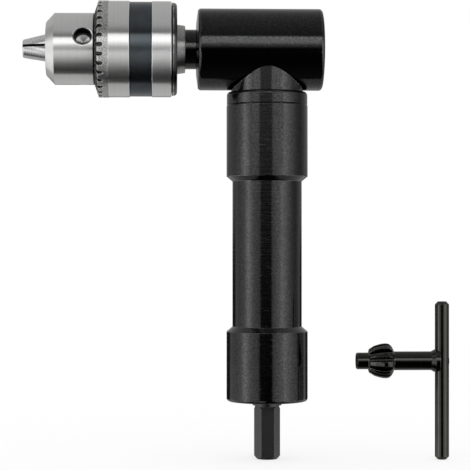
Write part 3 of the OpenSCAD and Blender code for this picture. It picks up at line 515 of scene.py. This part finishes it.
# By lean: the panel overhead, the table below and what is under and behind it
PANEL = [
    (3, 1.2), (20, 1.2), (31, 1.0), (32.5, 0.1), (39, 0.12), (45, 0.27), (53, 0.42), (61, 0.5),
    (110, 0.5), (172, 0.45), (180, 0.2)]
TABLE = [
    (-95, 0.0), (-75, 0.01), (-65, 0.03), (-55, 0.13), (-45, 0.36), (-35, 0.7), (-25, 1.0),
    (-13, 1.15)]
UNDER = [(-180, 0.03), (-171, 0.03), (-165, 0.45), (-147, 0.5), (-125, 0.48), (-96, 0.4)]
PANEL_FOOT = (2.6, 3.4)
TABLE_FRONT = (-9.0, -7.0)
TABLE_BACK = (-97.0, -93.5)
# By lean: the dark gap round the camera, which opens into the panel above, and how far aside
# its two sides lie
GAP = [
    (-95, 0.05), (-40, 0.008), (-2.5, 0.012), (1, 0.1), (3.5, 0.3), (8, 0.5), (16, 1.7),
    (30, 1.75), (34, 0.13), (60, 0.22), (105, 0.38), (130, 0.42), (172, 0.45), (180, 0.2)]
GAP_FOOT = (-96.0, -94.0)
GAP_LEFT = [(-16, -8), (-10, -25), (8, -25), (14, -6)]
GAP_RIGHT = [(-20, 20), (-10, 11.5)]
GAP_SOFT = 2.5
# Past the ends of the panel and the table, by aside: the surroundings again, a dull ceiling and
# the pale floor
PANEL_ENDS = (-46.0, 44.0)
PANEL_ENDS_SOFT = 5.0
CEILING = 0.25
CEILING_RISE = (12.0, 35.0)
FLOOR = 1.08
FLOOR_RISE = (-9.0, -3.5)
# A dark thing low behind on the right, which draws the black line down the handle's collar
DARK_THING = 0.03
DARK_SWING = (101.0, 124.0)
DARK_SWING_SOFT = 4.0
DARK_TOP = (-4.0, -3.2)
DARK_FOOT = (-5.9, -5.3)
DARK_FOOT_SHARE = 0.5


def studio():
    """White to the camera, even white light on matt surfaces, panels and gaps in reflections."""
    world = bpy.data.worlds.new("studio")
    bpy.context.scene.world = world
    world.use_nodes = True
    s = Shader(world.node_tree)
    dx, dy, dz = s.split(s.node("ShaderNodeTexCoord").outputs["Generated"])
    ahead = s.math("MULTIPLY", dy, -1.0)
    swing = s.math("DEGREES", s.math("ARCTAN2", dx, ahead))
    lean = s.math("DEGREES", s.math("ARCTAN2", dz, ahead))
    rise = s.math("DEGREES", s.math("ARCSINE", dz))
    aside = s.math("DEGREES", s.math("ARCSINE", dx))

    def right_of(edge):
        """0 to the left of an edge that moves with the lean, 1 to the right of it."""
        return s.step(aside, s.math("SUBTRACT", edge, GAP_SOFT), s.math("ADD", edge, GAP_SOFT))

    around = s.ramp(swing, AROUND)
    near = s.switch(lean, TABLE_FRONT, s.ramp(lean, TABLE), around)
    near = s.switch(lean, TABLE_BACK, s.ramp(lean, UNDER), near)
    near = s.switch(lean, PANEL_FOOT, near, s.ramp(lean, PANEL))
    gap = s.product(right_of(s.curve(lean, GAP_LEFT)),
                    s.opposite(right_of(s.curve(lean, GAP_RIGHT))),
                    s.step(lean, *GAP_FOOT))
    near = s.blend(gap, near, s.ramp(lean, GAP))

    far = s.switch(rise, CEILING_RISE, around, CEILING)
    far = s.switch(rise, FLOOR_RISE, s.math("MAXIMUM", far, FLOOR), far)
    dark = s.product(s.between(swing, *DARK_SWING, DARK_SWING_SOFT),
                     s.opposite(s.step(rise, *DARK_TOP)),
                     s.switch(rise, DARK_FOOT, DARK_FOOT_SHARE, 1.0))
    far = s.blend(dark, far, DARK_THING)

    seen = s.blend(s.between(aside, *PANEL_ENDS, PANEL_ENDS_SOFT), far, near)
    glossy = s.node("ShaderNodeLightPath").outputs["Is Glossy Ray"]
    background = s.node("ShaderNodeBackground",
                        {"Color": grey(1), "Strength": s.blend(glossy, 1.0, seen)})
    s.node("ShaderNodeOutputWorld", {0: background.outputs[0]})


FLOOR_REACH = 45.0
# Share of the floor's white that shines by itself to the camera, which keeps the shadow pale
FLOOR_GLOW = 0.72


def pale_floor():
    """White paper under the object, out past every view."""
    mesh = bpy.data.meshes.new("floor")
    corners = [(-1, -1), (1, -1), (1, 1), (-1, 1)]
    mesh.from_pydata([(FLOOR_REACH * x, FLOOR_REACH * y, 0) for x, y in corners], [],
                     [(0, 1, 2, 3)])
    floor = bpy.data.objects.new("floor", mesh)
    bpy.context.scene.collection.objects.link(floor)
    material, s = new_material("floor")
    paper = s.node("ShaderNodeBsdfDiffuse", {"Color": grey(1)})
    glow = s.node("ShaderNodeEmission")
    seen = s.node("ShaderNodeLightPath").outputs["Is Camera Ray"]
    both = s.node("ShaderNodeMixShader", {0: s.math("MULTIPLY", seen, FLOOR_GLOW),
                                          1: paper.outputs[0], 2: glow.outputs[0]})
    s.node("ShaderNodeOutputMaterial", {0: both.outputs[0]})
    mesh.materials.append(material)
    floor.visible_glossy = False


# The photograph's viewpoint, fitted to the object's edges in it: level, 0.64 m away, a little
# left of the handle and turned to the right
EYE = (-38.23 * MM, -638.4 * MM, 79.42 * MM)
EYE_TURN = -0.042
LENS = 137.9


def camera():
    data = bpy.data.cameras.new("camera")
    data.sensor_width = 36.0
    data.lens = LENS
    data.clip_start = 0.01
    data.clip_end = 200.0
    eye = bpy.data.objects.new("camera", data)
    eye.location = EYE
    eye.rotation_euler = (math.radians(90.0), 0.0, EYE_TURN)
    bpy.context.scene.collection.objects.link(eye)
    bpy.context.scene.camera = eye


studio()
pale_floor()
camera()
bpy.context.scene.view_settings.view_transform = "Standard"
